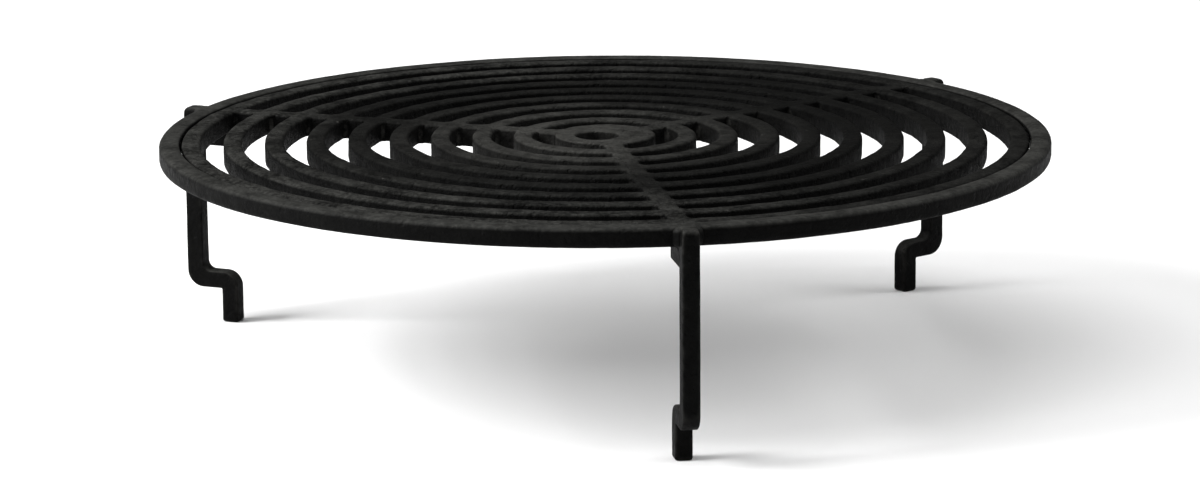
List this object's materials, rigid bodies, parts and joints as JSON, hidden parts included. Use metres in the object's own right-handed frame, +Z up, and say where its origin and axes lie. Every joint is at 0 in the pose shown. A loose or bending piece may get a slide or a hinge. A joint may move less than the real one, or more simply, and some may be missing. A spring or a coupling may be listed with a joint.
{
  "type": "raised round cooking grate",
  "caption": "Raised round cooking grate: concentric bars and spokes in a loose grate that lies inside a support ring on cranked legs with steps and pegs.",
  "frame": {"origin": "on the common axis of the rings, at the level of the lower ends of the three pegs", "axes": "+Z up along the rings' axis, -Y towards the front leg, +X to the right as seen from the front leg"},
  "size_m": [0.43, 0.4386, 0.109],
  "materials": {
    "grate_iron": "matte black, seasoned cast iron with a grainy skin",
    "stand_steel": "matte black heat-proof coating"
  },
  "bodies": {
    "stand": {"leg_front": "stand_steel", "leg_left": "stand_steel", "leg_right": "stand_steel", "leg_welds": "stand_steel", "shelf_front": "stand_steel", "shelf_left": "stand_steel", "shelf_right": "stand_steel", "support_ring": "stand_steel"},
    "grate": {"grate_rim": "grate_iron", "hub": "grate_iron", "ring_bar_1": "grate_iron", "ring_bar_2": "grate_iron", "ring_bar_3": "grate_iron", "ring_bar_4": "grate_iron", "ring_bar_5": "grate_iron", "ring_bar_6": "grate_iron", "ring_bar_7": "grate_iron", "ring_bar_8": "grate_iron", "spoke_front": "grate_iron", "spoke_left": "grate_iron", "spoke_right": "grate_iron"}
  },
  "joints": [
    {"name": "grate_lift", "type": "slide", "parent": "stand", "child": "grate", "axis": [0, 0, 1], "range_m": [0, 0.05]}
  ]
}
